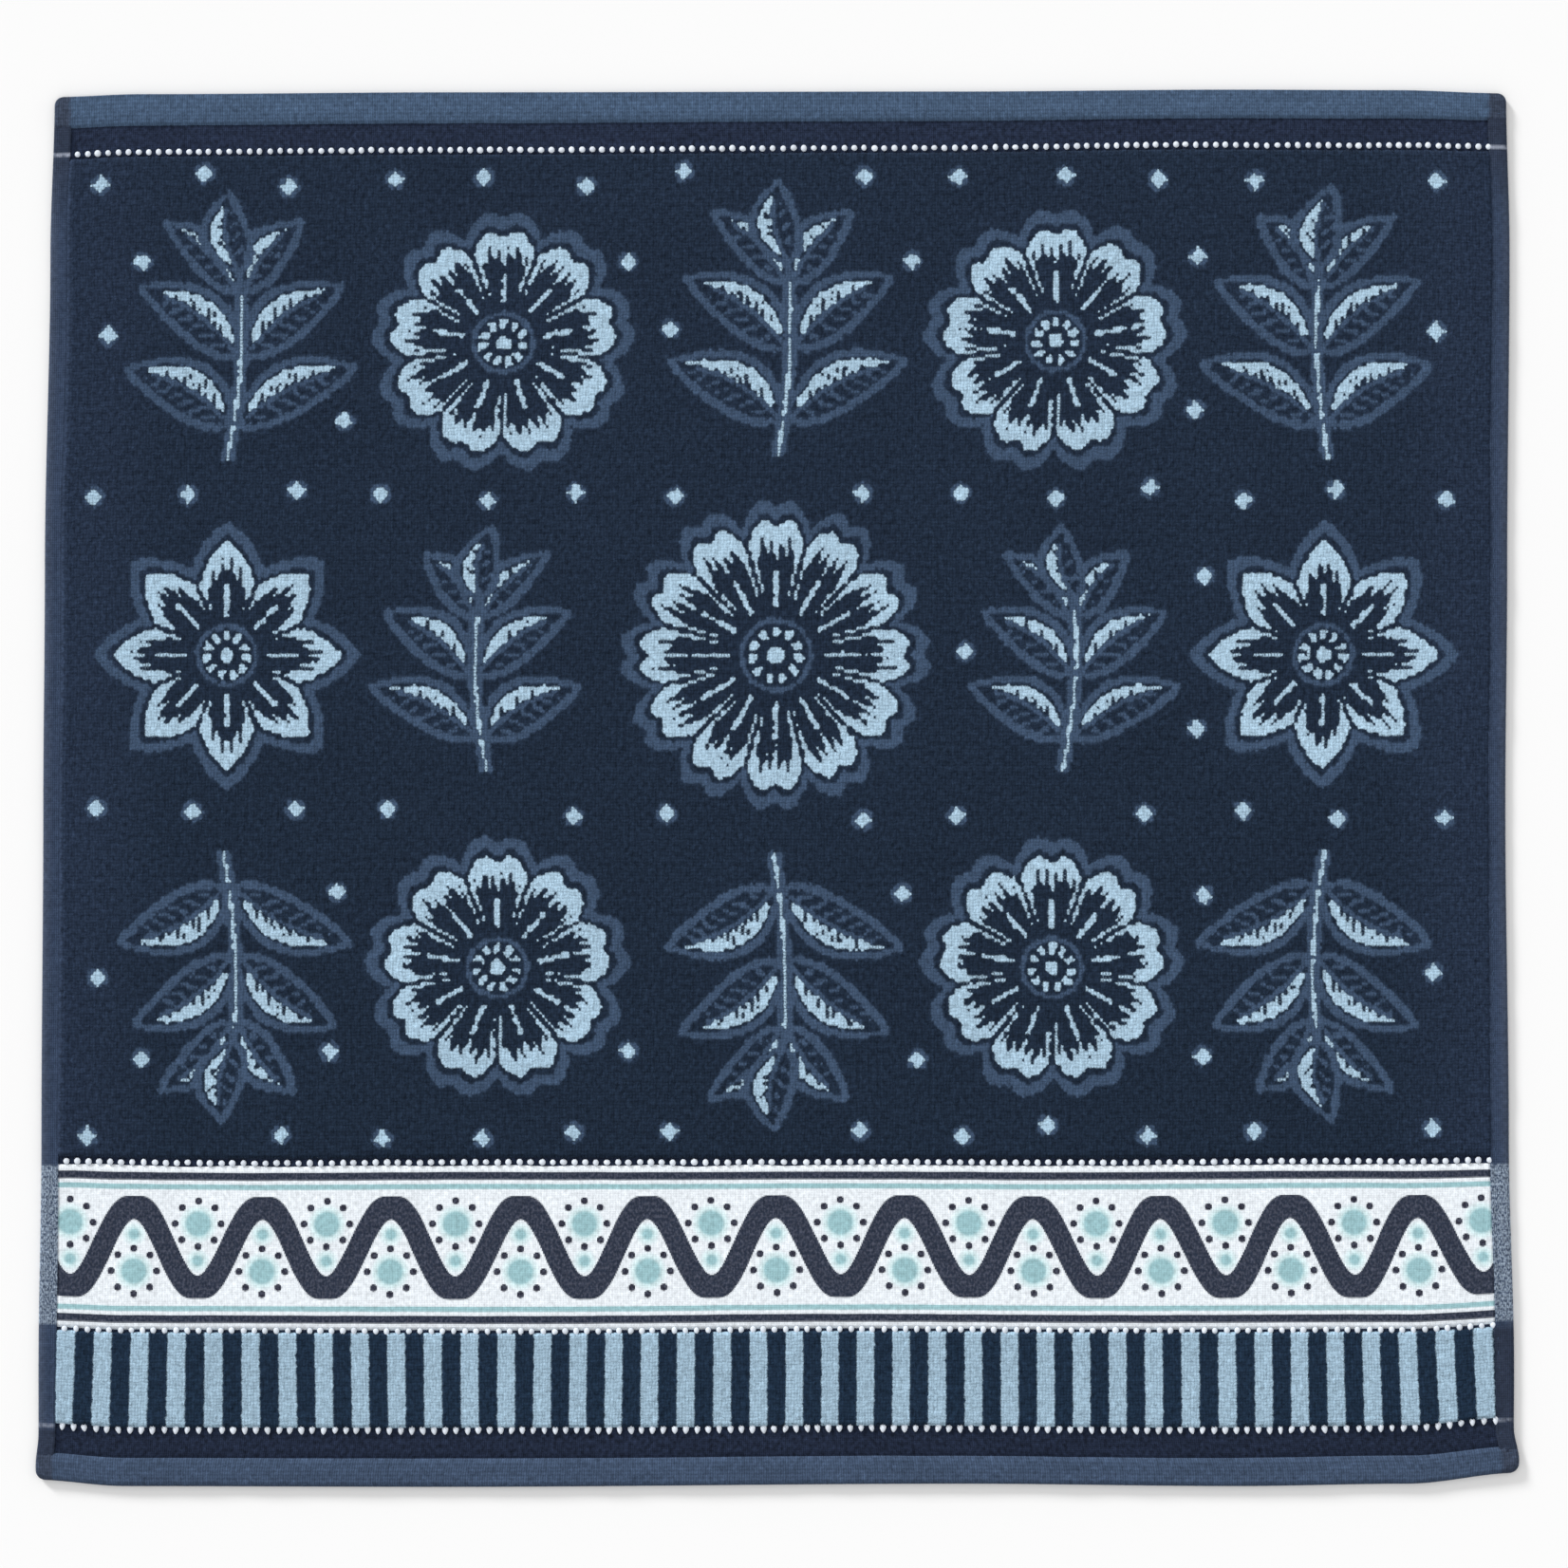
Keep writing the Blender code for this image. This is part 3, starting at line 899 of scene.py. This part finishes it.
class Shader:
    """Short ways to add nodes to one cotton material. A value is a number or a socket."""

    def __init__(self, name):
        self.material = bpy.data.materials.new(name)
        self.material.use_nodes = True
        self.tree = self.material.node_tree
        self.surface = self.tree.nodes["Principled BSDF"]
        self.surface.inputs["Metallic"].default_value = 0.0
        self.surface.inputs["Specular IOR Level"].default_value = 0.06
        self.surface.inputs["Sheen Weight"].default_value = 0.03
        self.surface.inputs["Sheen Roughness"].default_value = 0.5
        self.millimetres = self.scale_vector(self.read("cloth", "Vector"), (1000.0,) * 3)

    def feed(self, value, socket):
        """Link a socket, or set a number or a colour."""
        if isinstance(value, bpy.types.NodeSocket):
            self.tree.links.new(value, socket)
        elif isinstance(value, tuple) and socket.type == "RGBA":
            socket.default_value = (*value, 1.0)
        else:
            socket.default_value = value

    def read(self, name, output="Fac"):
        """A mesh attribute."""
        node = self.tree.nodes.new("ShaderNodeAttribute")
        node.attribute_name = name
        return node.outputs[output]

    def math(self, operation, *values):
        """One step of arithmetic."""
        node = self.tree.nodes.new("ShaderNodeMath")
        node.operation = operation
        for value, socket in zip(values, node.inputs):
            self.feed(value, socket)
        return node.outputs[0]

    def times(self, first, second):
        """A product."""
        return self.math("MULTIPLY", first, second)

    def plus(self, first, second):
        """A sum."""
        return self.math("ADD", first, second)

    def minus(self, first, second):
        """A difference."""
        return self.math("SUBTRACT", first, second)

    def scaled(self, value, factor, offset):
        """A value times a factor, plus an offset."""
        return self.math("MULTIPLY_ADD", value, factor, offset)

    def size_of(self, value):
        """A value without its sign."""
        return self.math("ABSOLUTE", value)

    def greater(self, first, second):
        """The greater of two values."""
        return self.math("MAXIMUM", first, second)

    def scale_vector(self, vector, scale):
        """A vector with each part multiplied."""
        node = self.tree.nodes.new("ShaderNodeVectorMath")
        node.operation = "MULTIPLY"
        self.feed(vector, node.inputs[0])
        self.feed(scale, node.inputs[1])
        return node.outputs[0]

    def across_and_down(self):
        """The two flat coordinates of the cloth, in millimetres."""
        node = self.tree.nodes.new("ShaderNodeSeparateXYZ")
        self.feed(self.millimetres, node.inputs[0])
        return node.outputs["X"], node.outputs["Y"]

    def noise(self, across_size, down_size, detail=2.0):
        """Noise from 0 to 1 whose grains have this size in millimetres."""
        node = self.tree.nodes.new("ShaderNodeTexNoise")
        node.inputs["Scale"].default_value = 1.0
        node.inputs["Detail"].default_value = detail
        stretch = (1.0 / across_size, 1.0 / down_size, 1.0)
        self.feed(self.scale_vector(self.millimetres, stretch), node.inputs["Vector"])
        return node.outputs["Fac"]

    def fold(self, value, period):
        """Signed distance from the nearest whole number of periods."""
        return self.math("WRAP", value, period / 2, -period / 2)

    def swayed(self, vector, size, amount):
        """A vector pushed this far about by noise whose grains have this size in millimetres."""
        node = self.tree.nodes.new("ShaderNodeTexNoise")
        node.inputs["Scale"].default_value = 1.0 / size
        self.feed(self.millimetres, node.inputs["Vector"])
        push = self.tree.nodes.new("ShaderNodeVectorMath")
        push.operation = "MULTIPLY_ADD"
        self.feed(node.outputs["Color"], push.inputs[0])
        self.feed((2.0 * amount,) * 3, push.inputs[1])
        self.feed(vector, push.inputs[2])
        return push.outputs[0]

    def waves(self, vector):
        """A cosine along each of a vector's first two parts, with one wave to a unit."""
        node = self.tree.nodes.new("ShaderNodeSeparateXYZ")
        self.feed(vector, node.inputs[0])
        turns = [self.times(node.outputs[axis], 2.0 * math.pi) for axis in ("X", "Y")]
        return [self.math("COSINE", turn) for turn in turns]

    def grain(self, amount):
        """A brightness around 1 that varies from thread to thread."""
        return self.swing(self.noise(1.5, 1.7, 1.0), amount)

    def ramp(self, value, low, high):
        """0 below low, 1 above high and a smooth rise between."""
        node = self.tree.nodes.new("ShaderNodeMapRange")
        node.interpolation_type = "SMOOTHSTEP"
        for number, socket in zip((value, low, high), node.inputs):
            self.feed(number, socket)
        return node.outputs[0]

    def mix(self, share, first, second):
        """A mix of two colours."""
        node = self.tree.nodes.new("ShaderNodeMix")
        node.data_type = "RGBA"
        self.feed(share, node.inputs[0])
        self.feed(first, node.inputs[6])
        self.feed(second, node.inputs[7])
        return node.outputs[2]

    def swing(self, value, amount):
        """A brightness around 1 from noise: 1 - amount to 1 + amount."""
        centred = self.minus(value, 0.5)
        return self.scaled(centred, 2.0 * amount, 1.0)

    def shade(self, colour, *factors):
        """A colour multiplied by brightness factors."""
        total = factors[0]
        for factor in factors[1:]:
            total = self.times(total, factor)
        node = self.tree.nodes.new("ShaderNodeVectorMath")
        node.operation = "SCALE"
        self.feed(colour, node.inputs[0])
        self.feed(total, node.inputs["Scale"])
        return node.outputs[0]

    def bump(self, height, depth_mm, under=None):
        """Relief of this many millimetres for a height from 0 to 1."""
        node = self.tree.nodes.new("ShaderNodeBump")
        node.inputs["Strength"].default_value = 1.0
        node.inputs["Distance"].default_value = depth_mm * MM
        self.feed(height, node.inputs["Height"])
        if under is not None:
            self.feed(under, node.inputs["Normal"])
        return node.outputs["Normal"]

    def finish(self, colour, normal):
        """Feed the surface, with a roughness that varies over the cloth."""
        patches = self.noise(3.0, 3.0, 3.0)
        rough = self.scaled(patches, ROUGHEST - SMOOTHEST, SMOOTHEST)
        self.feed(colour, self.surface.inputs["Base Color"])
        self.feed(normal, self.surface.inputs["Normal"])
        self.feed(rough, self.surface.inputs["Roughness"])
        return self.material


def pile_material():
    """Terry: each loop has its yarn's colour, with painted shade that leaves it lighter on top, and
    no two are quite alike.
    """
    shader = Shader("terry_pile")
    fuzz = shader.scaled(shader.noise(0.40, 0.46), 0.7, -0.35)
    across, down = shader.across_and_down()
    from_side = shader.minus(WIDTH / 2 / MM, shader.size_of(across))
    end = zone_span("terry_body")[1] / MM
    low = shader.ramp(down, end, end + 5.0)
    # Painted light: the body's navy is lightened towards both sides and towards the top
    painted_light = shader.ramp(from_side, 55.0, 6.0)
    painted_light = shader.scaled(shader.ramp(down, 380.0, 20.0), 0.35, painted_light)
    clumps = shader.noise(1.5, 1.9, 1.0)
    colour = shader.mix(low, shader.mix(painted_light, NAVY, PAINTED_LIGHT_NAVY), STRIPE_NAVY)
    # Painted light: the pile just inside the left hem is tinted lighter towards slate, except in
    # the striped border
    painted_light_by_hem = shader.ramp(across, LEFT_INNER / MM + 2.6, LEFT_INNER / MM)
    painted_light_by_hem = shader.times(painted_light_by_hem, shader.scaled(low, -0.60, 0.60))
    colour = shader.mix(painted_light_by_hem, colour, SLATE)
    colour = shader.shade(colour, shader.swing(clumps, 0.38))
    light = shader.shade(LIGHT_BLUE, shader.scaled(low, -0.15, 1.0))
    yarns = (("mid_yarn", MID_BLUE, 0.05, 0.95), ("light_yarn", light, 0.30, 0.88))
    for name, tint, first, last in yarns:
        share = shader.ramp(shader.plus(shader.read(name), fuzz), first, last)
        colour = shader.mix(share, colour, tint)

    waves = shader.waves(shader.swayed(shader.read("loop", "Vector"), 3.0, 1.0))
    dome = shader.scaled(shader.plus(*waves), -0.25, 0.5)
    # Painted shade: the colour is darkened between the loops and lightened on their tops, besides
    # the bump
    factors = [shader.swing(dome, 0.14), shader.swing(clumps, 0.36)]
    factors += [
        shader.swing(shader.noise(0.40, 0.55), 0.20),
        shader.swing(shader.noise(0.8, 6.0, 1.0), 0.20),
        shader.swing(shader.noise(45.0, 45.0), 0.12)]
    normal = shader.bump(dome, 0.10)
    normal = shader.bump(shader.noise(0.30, 0.38), 0.10, normal)
    return shader.finish(shader.shade(colour, *factors), normal)


def ribs(shader, value, pitch):
    """Rounded ribs, as a height from 0 to 1."""
    turn = shader.times(value, 2.0 * math.pi / pitch)
    return shader.scaled(shader.math("SINE", turn), 0.5, 0.5)


def weave_height(shader, pitch_across, pitch_down):
    """The relief of a plain weave, as a height from 0 to 1."""
    across, down = shader.across_and_down()
    wander = shader.times(shader.noise(1.2, 1.2), 0.35)
    warp = ribs(shader, shader.plus(across, wander), pitch_across)
    weft = ribs(shader, shader.plus(down, wander), pitch_down)
    return shader.scaled(weft, 0.35, shader.times(warp, 0.65))


def woven_material(name, tint, pitch_across, pitch_down, painted_groove_shade, grain, corner_tint=None):
    """Flat-woven cotton with fine ribs. Its ends may have another tint, as wide as a side hem."""
    shader = Shader(name)
    across, down = shader.across_and_down()
    height = weave_height(shader, pitch_across, pitch_down)
    fibres = shader.swing(shader.noise(0.45, 0.55), 0.45)
    threads = shader.swing(shader.noise(1.0, 3.5, 1.0), 0.34)
    blotches = shader.swing(shader.noise(2.4, 1.8, 2.0), 0.30)
    patches = shader.swing(shader.noise(30.0, 12.0), 0.18)
    patches = shader.times(patches, shader.grain(grain))
    if corner_tint is None:
        low = shader.ramp(down, LENGTH / 2 / MM, LENGTH / MM)
        patches = shader.times(patches, shader.scaled(low, -0.18, 1.0))
    else:
        # Painted shade: the end hems darken towards their folded outer edges
        from_end = shader.math("MINIMUM", down, shader.minus(LENGTH / MM, down))
        patches = shader.times(patches, shader.scaled(
            shader.ramp(from_end, 2.2, 0.6), -0.22, 1.0))
        ragged = shader.scaled(shader.noise(2.0, 3.0), 3.0, across)
        for inner, outwards in ((LEFT_INNER / MM, -1.0), (RIGHT_INNER / MM, 1.0)):
            corner = shader.ramp(ragged, inner + 1.5 - 0.6 * outwards, inner + 1.5 + 1.6 * outwards)
            tint = shader.mix(corner, tint, corner_tint)
    # Painted shade: the weave's grooves are darkened and its ribs lightened in the colour, besides
    # the bump
    colour = shader.shade(tint, shader.swing(height, painted_groove_shade), fibres, threads, blotches, patches)
    normal = shader.bump(height, 0.14)
    normal = shader.bump(shader.noise(0.26, 0.30), 0.10, normal)
    return shader.finish(colour, normal)


def side_hem_material():
    """Slate cotton; beside the white band the white yarns show through as specks."""
    shader = Shader("side_hem_weave")
    start, end = (place / MM for place in zone_span("flat_band"))
    height = weave_height(shader, 0.75, 0.9)
    across, down = shader.across_and_down()
    from_edge = shader.minus(WIDTH / 2 / MM, shader.size_of(across))
    # Painted light: the side hems turn lighter towards their outer folds
    tint = shader.mix(shader.ramp(from_edge, 4.5, 0.0), SLATE, PAINTED_LIGHT_EDGE_SLATE)
    right = shader.ramp(across, -1.0, 1.0)
    low_start = shader.scaled(right, -38.0, end + 38.0)
    near_end = shader.greater(shader.ramp(down, 50.0, 14.0), shader.ramp(
        down, low_start, shader.plus(low_start, 4.0)))
    tint = shader.mix(near_end, tint, END_SLATE)
    beside = shader.times(
        shader.ramp(down, start - 0.6, start + 0.6), shader.ramp(down, end + 0.6, end - 0.6))
    specks = shader.ramp(shader.noise(0.55, 1.10, 1.0), 0.30, 0.72)
    tint = shader.mix(shader.times(beside, specks), tint, SPECK)
    floats = shader.ramp(shader.noise(2.6, 4.0, 1.0), 0.25, 0.60)
    for name, left_strength, right_strength in HEM_DASHES:
        middle = sum(zone_span(name)) / 2 / MM
        away = shader.size_of(shader.minus(down, middle))
        strength = shader.scaled(right, right_strength - left_strength, left_strength)
        dash = shader.times(shader.ramp(away, 1.2, 0.3), floats)
        tint = shader.mix(shader.times(dash, strength), tint, DASH)
    fibres = shader.swing(shader.noise(0.26, 0.40), 0.40)
    patches = shader.swing(shader.noise(10.0, 30.0), 0.18)
    # Painted shadow: the right hem darkens towards its inner edge, where the pile's shadow falls
    inner = shader.ramp(across, RIGHT_INNER / MM + 2.6, RIGHT_INNER / MM)
    inner = shader.times(inner, right)
    patches = shader.times(patches, shader.scaled(inner, -0.12, 1.0))
    # Painted shade: the weave's grooves are darkened and its ribs lightened in the colour, besides
    # the bump
    colour = shader.shade(tint, shader.swing(height, 0.15), fibres, shader.grain(0.44), patches)
    normal = shader.bump(height, 0.14)
    normal = shader.bump(shader.noise(0.26, 0.30), 0.10, normal)
    return shader.finish(colour, normal)


def band_material():
    """White flat weave with a running wave and dotted rosettes between two straight lines."""
    shader = Shader("band_weave")
    across, down = shader.across_and_down()
    middle = sum(zone_span("flat_band")) / 2 / MM
    wander = shader.times(shader.minus(shader.noise(1.6, 1.6), 0.5), 0.35)
    x = shader.math("SNAP", shader.plus(across, wander), BAND_STEP)
    y = shader.minus(middle, shader.math("SNAP", down, BAND_STEP))

    turn = shader.times(x, 2.0 * math.pi / WAVE_LENGTH)
    rise = shader.times(shader.math("COSINE", turn), WAVE_REACH)
    steepest = 2.0 * math.pi * WAVE_REACH / WAVE_LENGTH
    steep = shader.times(shader.math("SINE", turn), steepest)
    slant = shader.math("SQRT", shader.scaled(steep, steep, 1.0))
    over_wave = shader.size_of(shader.minus(y, rise))
    off_wave = shader.math("DIVIDE", over_wave, slant)
    wave = shader.ramp(off_wave, WAVE_WIDTH / 2 + 0.20, WAVE_WIDTH / 2 - 0.20)

    def straight_lines(place, width):
        """Two straight lines, this far above and below the band's middle."""
        off = shader.size_of(shader.minus(shader.size_of(y), place))
        return shader.ramp(off, width / 2 + 0.20, width / 2 - 0.20)

    figure = shader.greater(wave, straight_lines(EDGE_LINE, EDGE_LINE_WIDTH))

    side = shader.fold(x, WAVE_LENGTH / 2)
    bend = shader.minus(x, side)
    crest = shader.math("COSINE", shader.times(bend, 2.0 * math.pi / WAVE_LENGTH))

    def round_place(offset):
        """Height over, and distance from, a point this far into the open side of the bend."""
        over = shader.scaled(crest, offset, y)
        square = shader.scaled(over, over, shader.times(side, side))
        return over, shader.math("SQRT", square)

    over, heart = round_place(ROSETTE_OFFSET)
    spot = round_place(SPOT_OFFSET)[1]
    angle = shader.fold(shader.math("ARCTAN2", over, side), 2.0 * math.pi / ROSETTE_DOTS)
    outwards = shader.minus(shader.times(heart, shader.math(
        "COSINE", angle)), ROSETTE_RING)
    sideways = shader.times(heart, shader.math("SINE", angle))
    dot = shader.math("SQRT", shader.scaled(
        outwards, outwards, shader.times(sideways, sideways)))

    teal_lines = straight_lines(TEAL_LINE, TEAL_LINE_WIDTH)
    colour = shader.mix(teal_lines, WHITE, TEAL)
    for away, radius in ((heart, ROSETTE_HEART), (spot, SPOT_RADIUS)):
        fringe = shader.ramp(away, radius + 2.8, radius - 0.2)
        colour = shader.mix(shader.times(fringe, 0.8), colour, PALE_TEAL)
        colour = shader.mix(shader.ramp(away, radius + 0.4, radius - 1.2), colour, TEAL)
    mottle = shader.ramp(shader.noise(0.9, 1.2, 2.0), 0.38, 0.72)
    dots = shader.ramp(dot, ROSETTE_DOT + 0.2, ROSETTE_DOT - 0.2)
    colour = shader.mix(dots, colour, shader.mix(mottle, DARK_FIGURE, BAND_SPECK))
    colour = shader.mix(figure, colour, shader.mix(mottle, BAND_NAVY, BAND_SPECK))

    height = weave_height(shader, 0.55, 0.62)
    fibres = shader.swing(shader.noise(0.35, 0.45), 0.16)
    threads = shader.grain(0.34)
    patches = shader.swing(shader.noise(20.0, 20.0), 0.05)
    # Painted shade: the weave's grooves are darkened a little and its ribs lightened in the colour,
    # besides the bump
    colour = shader.shade(colour, shader.swing(height, 0.05), fibres, threads, patches)
    normal = shader.bump(height, 0.09)
    normal = shader.bump(figure, 0.10, normal)
    return shader.finish(colour, normal)


def thread_material(name, tint):
    """Soft cotton yarn, each piece of it a little lighter or darker."""
    shader = Shader(name)
    tone = shader.scaled(shader.read("tone"), 0.05, 1.0)
    fibres = shader.swing(shader.noise(0.18, 0.30), 0.12)
    colour = shader.shade(tint, tone, fibres)
    normal = shader.bump(shader.noise(0.16, 0.40), 0.08)
    return shader.finish(colour, normal)


def floor_material():
    """A plain pale sweep."""
    material = bpy.data.materials.new("floor_white")
    material.use_nodes = True
    surface = material.node_tree.nodes["Principled BSDF"]
    surface.inputs["Base Color"].default_value = (0.90, 0.90, 0.90, 1.0)
    surface.inputs["Roughness"].default_value = 0.9
    surface.inputs["Specular IOR Level"].default_value = 0.0
    return material


# --- The towel ------------------------------------------------------------------------------

def seam_lines():
    """Name, two ends and height of each seam, just inside the inner edge of its hem."""
    top = ZONES[0].length - END_SEAM
    bottom = LENGTH - ZONES[-1].length + END_SEAM
    left = LEFT_INNER - SIDE_SEAM
    right = RIGHT_INNER + SIDE_SEAM
    end_reach = WIDTH / 2 - 0.0015
    side_start = ZONES[0].length + 0.0006
    side_end = LENGTH - ZONES[-1].length - 0.0006
    end_height = END_HEM_FACE - 0.00030
    side_height = SIDE_HEM_FACE - 0.00028
    return (
        ("stitches_top", (-end_reach, top), (end_reach, top), end_height),
        ("stitches_bottom", (-end_reach, bottom), (end_reach, bottom), end_height),
        ("stitches_left", (left, side_start), (left, side_end), side_height),
        ("stitches_right", (right, side_start), (right, side_end), side_height),
    )


def build_towel():
    """Every piece of the towel, each with its material."""
    groups = []
    ground = build_ground()
    groups.append(([ground], woven_material("ground_weave", STRIP_NAVY, 0.75, 0.85, 0.10, 0.92)))
    groups.append(([build_band()], band_material()))
    # The bottom hem takes the darker hem blue as painted shade
    for place, at_top, tint in (("top", True, HEM_BLUE), ("bottom", False, SHADED_HEM_BLUE)):
        weave = woven_material(f"{place}_hem_weave", tint, 0.90, 1.4, 0.20, 0.42, CORNER_SLATE)
        groups.append(([build_end_hem(f"hem_{place}", at_top)], weave))
    side_hems = [build_side_hem("hem_left", -1), build_side_hem("hem_right", 1)]
    groups.append((side_hems, side_hem_material()))

    body = build_pile("terry_body", *zone_span("terry_body"), 3, body_yarn, 71)
    start, end = zone_span("terry_stripes")
    stripes = build_pile("terry_stripes", start - 0.0010, end + 0.0008, 1, stripe_yarn, 72)
    groups.append((body + stripes, pile_material()))

    dots = [build_dots(*row, seed) for seed, row in enumerate(DOT_ROWS, 81)]
    groups.append((dots, thread_material("white_picots", PICOT_WHITE)))
    seams = [build_stitches(*seam, seed) for seed, seam in enumerate(seam_lines(), 91)]
    groups.append((seams, thread_material("sewing_thread", THREAD_BLUE)))

    pieces = []
    for members, material in groups:
        for piece in members:
            piece.data.materials.append(material)
            pieces.append(piece)
    return ground, pieces


def build_studio():
    """A pale floor, soft light from the upper left and a camera straight above."""
    bpy.ops.mesh.primitive_plane_add(size=FLOOR_SIZE, location=(0.0, 0.0, FLOOR - 0.0001))
    floor = bpy.context.object
    floor.name = "floor"
    floor.data.materials.append(floor_material())

    sun = bpy.data.lights.new("key", "SUN")
    sun.energy = SUN_STRENGTH
    sun.angle = math.radians(SUN_SPREAD)
    key = bpy.data.objects.new("key", sun)
    key.rotation_euler = (0.0, math.radians(90.0 - SUN_ELEVATION), math.radians(SUN_AZIMUTH))
    bpy.context.scene.collection.objects.link(key)

    world = bpy.data.worlds.new("studio")
    world.use_nodes = True
    background = world.node_tree.nodes["Background"]
    background.inputs["Color"].default_value = (*SKY, 1.0)
    background.inputs["Strength"].default_value = SKY_STRENGTH
    bpy.context.scene.world = world

    lens = bpy.data.cameras.new("camera")
    lens.lens = LENS
    lens.sensor_width = SENSOR
    lens.clip_start = 0.01
    camera = bpy.data.objects.new("camera", lens)
    distance = FIELD * LENS / SENSOR
    camera.location = (AIM[0], AIM[1], FLOOR + 0.002 + distance)
    bpy.context.scene.collection.objects.link(camera)
    bpy.context.scene.camera = camera
    bpy.context.scene.view_settings.view_transform = "Standard"
    return floor


ground, pieces = build_towel()
for piece in pieces:
    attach(piece, BODY)
    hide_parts(NODE)
build_studio()
